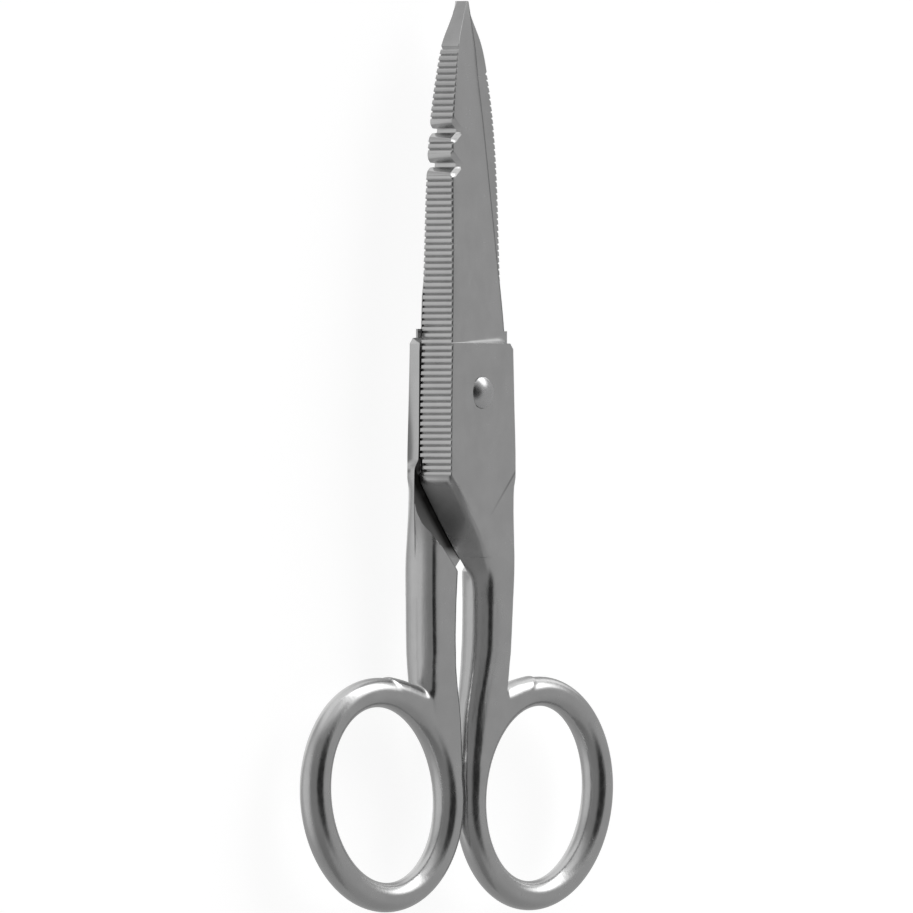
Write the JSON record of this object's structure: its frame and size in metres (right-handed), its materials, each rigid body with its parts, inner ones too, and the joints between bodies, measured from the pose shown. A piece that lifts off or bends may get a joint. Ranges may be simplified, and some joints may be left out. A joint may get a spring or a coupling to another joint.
{
  "type": "electrician's scissors",
  "caption": "Short heavy scissors with file-ridged blade backs, wire-stripping notches, a domed pivot rivet and oval finger rings, shown closed.",
  "frame": {"origin": "on the pivot axis, in the plane where the two halves meet", "axes": "+Z along the pivot axis towards the notched front half, +Y towards the blade tips, +X towards the front half's finger ring"},
  "size_m": [0.0628, 0.133, 0.0134],
  "materials": {
    "plated_steel": "satin nickel plate over forged steel",
    "rivet_steel": "smooth plated dome"
  },
  "bodies": {
    "rear": {"rear_half": "plated_steel", "pivot_rivet": "rivet_steel"},
    "front": {"front_half": "plated_steel"}
  },
  "joints": [
    {"name": "blade_pivot", "type": "hinge", "parent": "rear", "child": "front", "pos_m": [0, 0, 0], "axis": [0, 0, 1], "range_deg": [0, 60]}
  ]
}
